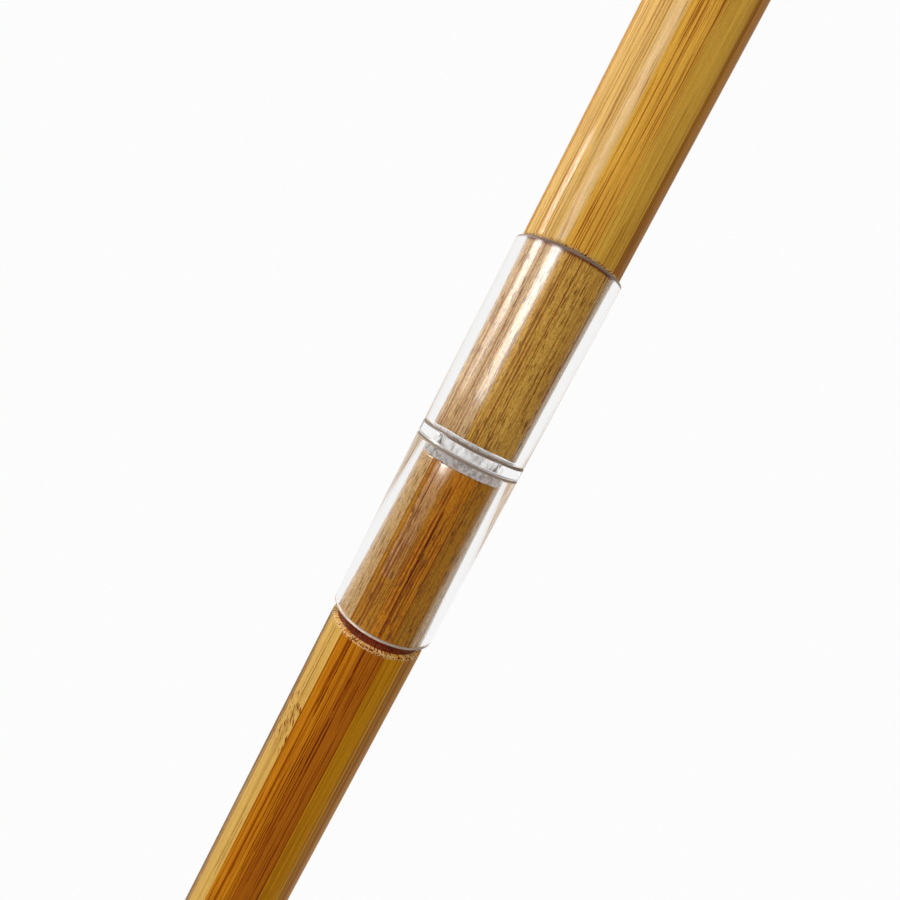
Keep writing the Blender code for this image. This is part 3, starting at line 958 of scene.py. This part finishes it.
ACRYLIC_INDEX = 1.49
ACRYLIC_TINT = (0.985, 0.985, 0.985)
# Frosted sawn acrylic at the ends, its dark brown partly painted shade along the rims.
SAW_POWDER_AND_SHADE = (0.25, 0.18, 0.13)
SOFT_LIGHT_LEFT = (0.93, 0.93, 0.93)
# A painted glow that stands in for the light that keeps bouncing inside the clear wall and brings the
# bamboo's colours out of it.
TRAPPED_LIGHT = (0.80, 0.66, 0.52)
TRAPPED_DARK = (0.3, 0.17, 0.09)
TRAPPED_IN_RING = (0.90, 0.88, 0.85)
TUBE_SIDES = (TRAPPED_DARK, TRAPPED_LIGHT)
RING_SIDES = (TRAPPED_IN_RING, TRAPPED_IN_RING)


def clear_acrylic(name, low, high, sawn, trapped_tones):
    """Clear acrylic that lets soft light through to the wood, frosted near its ends: sawn mm at the top."""
    n = Nodes(name)
    x, y, z = n.xyz()
    draw_lines = n.noise(n.vector(x, y, n.times(z, 0.02)), scale=1.6, detail=2)
    normal = n.bump(draw_lines, 0.08, 0.02 * MM)
    top = n.ease(z, high / MM - sawn, high / MM - sawn + 0.4)
    bottom = n.ease(z, low / MM + 0.5, low / MM + 0.1)
    frosted = n.math("MAXIMUM", top, bottom)
    roughness = n.times(frosted, 0.4)
    fresnel = n.node("ShaderNodeFresnel")
    n.plug(fresnel.inputs["IOR"], ACRYLIC_INDEX)
    n.plug(fresnel.inputs["Normal"], normal)
    bends = n.shader("BsdfRefraction", ACRYLIC_TINT, Roughness=roughness, IOR=ACRYLIC_INDEX, Normal=normal)
    mirrors = n.shader("BsdfAnisotropic", WHITE, Roughness=roughness, Normal=normal)
    glass = n.shader_mix(n.ease(fresnel.outputs[0], 0.07, 0.85), bends, mirrors)
    # The frosted ends: sawn acrylic, darkened partly with painted shade.
    glass = n.shader_mix(n.times(frosted, 0.85), glass, n.shader("BsdfDiffuse", SAW_POWDER_AND_SHADE))
    # Painted glow in the bamboo's colours, seen by rays that have bounced three times or more.
    streaks = n.noise(n.vector(x, y, n.times(z, 0.03)), scale=2.4, detail=2)
    trapped = n.shader("Emission", n.mix(n.ease(streaks, 0.4, 0.52), *trapped_tones))
    glass = n.shader_mix(bounced(n, "Glossy Depth", 3), glass, trapped)
    light_path = n.node("ShaderNodeLightPath")
    soft_ray = n.math("MAXIMUM", light_path.outputs["Is Shadow Ray"], light_path.outputs["Is Diffuse Ray"])
    return n.output(n.shader_mix(soft_ray, glass, n.shader("BsdfTransparent", SOFT_LIGHT_LEFT)))


def tube_outline(outer, inner, low, high, rounding):
    """The cut wall of a tube with rounded edges."""
    return [
        *corner_arc(outer, high, rounding, 0),
        *corner_arc(outer, low, rounding, 1),
        *corner_arc(inner, low, rounding, 2),
        *corner_arc(inner, high, rounding, 3),
    ]


CEMENT_GREY = (0.45, 0.42, 0.39)
CEMENT_PALE = (0.9, 0.88, 0.86)
CEMENT_WHITE = (0.99, 0.98, 0.97)
CEMENT_THICKNESS = 0.1 * MM
CEMENT_CLEARANCE = 0.02 * MM


def cement(name):
    """Clouded solvent cement, smeared unevenly."""
    n = Nodes(name)
    x, y, z = n.xyz()
    smear = n.noise(n.vector(x, y, n.times(z, 0.7)), scale=0.8, detail=4, roughness=0.65)
    shade = n.ramp(smear, ((0.3, CEMENT_GREY), (0.4, CEMENT_PALE), (0.55, CEMENT_WHITE)))
    body = n.shader_mix(0.5, n.shader("BsdfTranslucent", shade), n.shader("BsdfDiffuse", shade))
    clear_share = n.ease(smear, 0.35, 0.6, 0.2, 0.75)
    return n.output(n.shader_mix(clear_share, body, n.shader("BsdfTransparent", WHITE)))


def add_coupler():
    """The two clear tubes, the ring between them and the cement that squeezed out beside the ring."""
    for node, inner, sawn, trapped in (
        ("coupler_upper_tube", COUPLER_BORE_RADIUS, 0.65, TUBE_SIDES),
        ("coupler_stop_ring", BORE_RADIUS, 0.5, RING_SIDES),
        ("coupler_lower_tube", COUPLER_BORE_RADIUS, 0.5, TUBE_SIDES),
    ):
        low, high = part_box(node)
        outline = tube_outline(COUPLER_RADIUS, inner, low.z, high.z, TUBE_ROUNDING)
        material = clear_acrylic(f"{node}_acrylic", low.z, high.z, sawn, trapped)
        finish_piece(f"{node}_clear", lathe(node, outline), node, "coupler", material)
    smeared = cement("cement")
    outer = COUPLER_BORE_RADIUS - CEMENT_CLEARANCE
    for name, low, high in (
        ("cement_above_ring", RING_HIGH.z + CEMENT_CLEARANCE, RING_HIGH.z + 0.9 * MM),
        ("cement_below_ring", RING_LOW.z - 2.9 * MM, RING_LOW.z - CEMENT_CLEARANCE),
    ):
        outline = tube_outline(outer, outer - CEMENT_THICKNESS, low, high, 0.02 * MM)
        finish_piece(name, lathe(name, outline), None, "coupler", smeared)


# Scene ------------------------------------------------------------------------------------------------


def studio(n, behind, beside):
    """Brightness of the studio as a bounced ray sees it, from how far behind the flute it looks."""
    soft = n.plus(choose(n, behind, CAMERA_SIDE_LIGHT, BACKDROP_LIGHT), beside)
    mirrored = choose(n, behind, CAMERA_SIDE_GLOSS, BACKDROP_GLOSS)
    return choose(n, bounced(n, "Diffuse Depth"), mirrored, soft)


def make_world(facing, left):
    """White to look at, and a studio with a bright backdrop behind the flute and a dim camera side."""
    world = bpy.data.worlds.new("studio")
    bpy.context.scene.world = world
    world.use_nodes = True
    world.node_tree.nodes.clear()
    n = Nodes(tree=world.node_tree)
    toward = n.node("ShaderNodeTexCoord").outputs["Generated"]
    behind = n.ease(dot(n, toward, -facing), -0.1, 0.55)
    beside = n.times(dot(n, toward, left), SIDE_LIGHT)
    any_bounce = n.math("MAXIMUM", bounced(n, "Diffuse Depth"), bounced(n, "Glossy Depth"))
    glossy_only = n.math("SUBTRACT", any_bounce, bounced(n, "Diffuse Depth"))
    warm = n.times(glossy_only, n.math("SUBTRACT", 1.0, behind))
    color = n.mix(warm, WHITE, CAMERA_SIDE_TINT)
    strength = choose(n, any_bounce, BACKDROP_SEEN, studio(n, behind, beside))
    made = n.node("ShaderNodeOutputWorld")
    n.plug(made.inputs["Surface"], n.shader("Background", color, Strength=strength))


def add_floor(facing):
    """A plain pale floor with the foot's soft contact shadow."""
    mesh = bpy.data.meshes.new("floor")
    build = bmesh.new()
    bmesh.ops.create_grid(build, x_segments=1, y_segments=1, size=FLOOR_HALF_WIDTH)
    build.to_mesh(mesh)
    build.free()
    floor = bpy.data.objects.new("floor", mesh)
    bpy.context.scene.collection.objects.link(floor)
    floor.location.z = CAD_BOUNDS[0].z - FLOOR_DROP
    n = Nodes("floor_paper")
    x, y, z = n.xyz()
    away = n.math("SQRT", n.plus(n.times(x, x), n.times(y, y)))
    shade = n.ease(away, FOOT_RADIUS / MM - 3, FOOT_RADIUS / MM + 45, CONTACT_SHADE, BACKDROP_SEEN)
    behind = n.ease(dot(n, n.vector(x, y, 0.0), -facing), -100, 200)
    any_bounce = n.math("MAXIMUM", bounced(n, "Diffuse Depth"), bounced(n, "Glossy Depth"))
    glow = n.shader("Emission", WHITE, Strength=choose(n, any_bounce, shade, studio(n, behind, 0.0)))
    floor.data.materials.append(n.output(glow))


def add_window(name, azimuth, elevation, width, height, brightness, gleam):
    """A soft window-like light, one metre from the coupler and facing it. Its size is in degrees.

    The lacquer is given a thin coat, so a second light of the same shape, seen only in it, adds its gleam.
    """
    across = 2 * math.tan(math.radians(width / 2))
    tall = 2 * math.tan(math.radians(height / 2))
    back = direction(azimuth, elevation)
    side = Vector((0, 0, 1)).cross(back).normalized()
    turned = Matrix((side, back.cross(side), back)).transposed()
    for suffix, radiance, gleams in (("light", brightness, False), ("gleam", gleam, True)):
        light = bpy.data.lights.new(f"{name}_{suffix}", "AREA")
        light.shape = "RECTANGLE"
        light.size = across
        light.size_y = tall
        light.energy = radiance * math.pi * across * tall
        obj = bpy.data.objects.new(light.name, light)
        bpy.context.scene.collection.objects.link(obj)
        obj.matrix_world = Matrix.Translation(back + Vector((0, 0, RING_HIGH.z))) @ turned.to_4x4()
        obj.visible_camera = False
        obj.visible_glossy = gleams
        obj.visible_diffuse = not gleams


def add_camera():
    """The camera, placed from the flute's axis: level and square to it, then panned, tilted and rolled."""
    back = direction(CAMERA_AZIMUTH)
    up = Vector((0, 0, 1))
    square = Matrix((up.cross(back), up, back)).transposed()
    turned = (
        square
        @ Matrix.Rotation(math.radians(CAMERA_PAN), 3, "Y")
        @ Matrix.Rotation(math.radians(-CAMERA_TILT), 3, "X")
        @ Matrix.Rotation(math.radians(CAMERA_ROLL), 3, "Z")
    )
    place = back * CAMERA_DISTANCE + up * (RING_HIGH.z + CAMERA_ABOVE_RING)
    data = bpy.data.cameras.new("camera")
    data.lens = LENS
    data.sensor_width = SENSOR
    data.clip_start = 0.01
    camera = bpy.data.objects.new("camera", data)
    bpy.context.scene.collection.objects.link(camera)
    camera.matrix_world = Matrix.Translation(place) @ turned.to_4x4()
    bpy.context.scene.camera = camera


add_staves(
    "foot",
    "foot_finger_stave",
    FOOT_SEAMS,
    FOOT_WOODS,
    shaft_radius=FOOT_RADIUS,
    end=FOOT_LOW.z,
    shoulder=FOOT_SHOULDER,
    tip=FOOT_HIGH.z,
)
add_staves(
    "head",
    "head_lip_stave",
    HEAD_SEAMS,
    HEAD_WOODS,
    shaft_radius=HEAD_RADIUS,
    end=HEAD_HIGH.z,
    shoulder=HEAD_SHOULDER,
    tip=HEAD_LOW.z,
)
add_crown()
add_coupler()
make_world(direction(CAMERA_AZIMUTH), direction(CAMERA_AZIMUTH - 90))
add_floor(direction(CAMERA_AZIMUTH))
for window, turn, elevation, width, height, brightness, gleam in WINDOWS:
    add_window(window, CAMERA_AZIMUTH + turn, elevation, width, height, brightness, gleam)
add_camera()
bpy.context.scene.view_settings.view_transform = "Standard"
